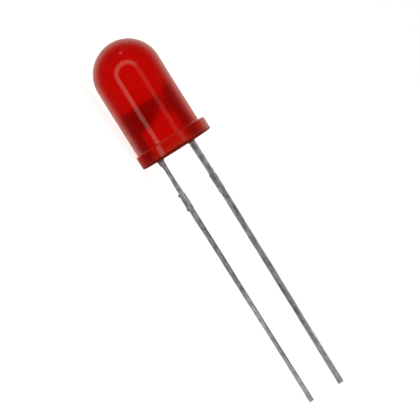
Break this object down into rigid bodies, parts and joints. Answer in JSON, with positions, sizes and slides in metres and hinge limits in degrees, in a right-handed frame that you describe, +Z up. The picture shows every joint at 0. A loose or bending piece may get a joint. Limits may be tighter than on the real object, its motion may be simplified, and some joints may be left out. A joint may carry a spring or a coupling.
{
  "type": "through hole led",
  "caption": "Round red indicator lamp with a domed, flanged epoxy lens and a pair of straight tinned leads for soldering into a board.",
  "frame": {"origin": "on the surface that the lamp lies on, straight under the lens axis, half way between the dome and the ends of the leads", "axes": "+X from the dome towards the lead tips, along the floor under the lens axis, which climbs 3 degrees from the lead tips to the dome, +Z up, from the cathode lead that lies underneath to the anode lead above it"},
  "size_m": [0.0288, 0.0058, 0.0055],
  "materials": {
    "tinted_epoxy": "red tinted, lightly diffused cast epoxy with a smooth moulded gloss",
    "tinned_steel": "dull dip tinned steel with streaks along its length",
    "semiconductor": "sawn crystal",
    "silver_epoxy": "matt silver filled epoxy",
    "gold": "bright drawn gold wire"
  },
  "bodies": {
    "root": {"epoxy_lens": "tinted_epoxy", "cathode_lead": "tinned_steel", "anode_lead": "tinned_steel", "led_die": "semiconductor", "die_attach": "silver_epoxy", "bond_wire": "gold"}
  },
  "joints": []
}
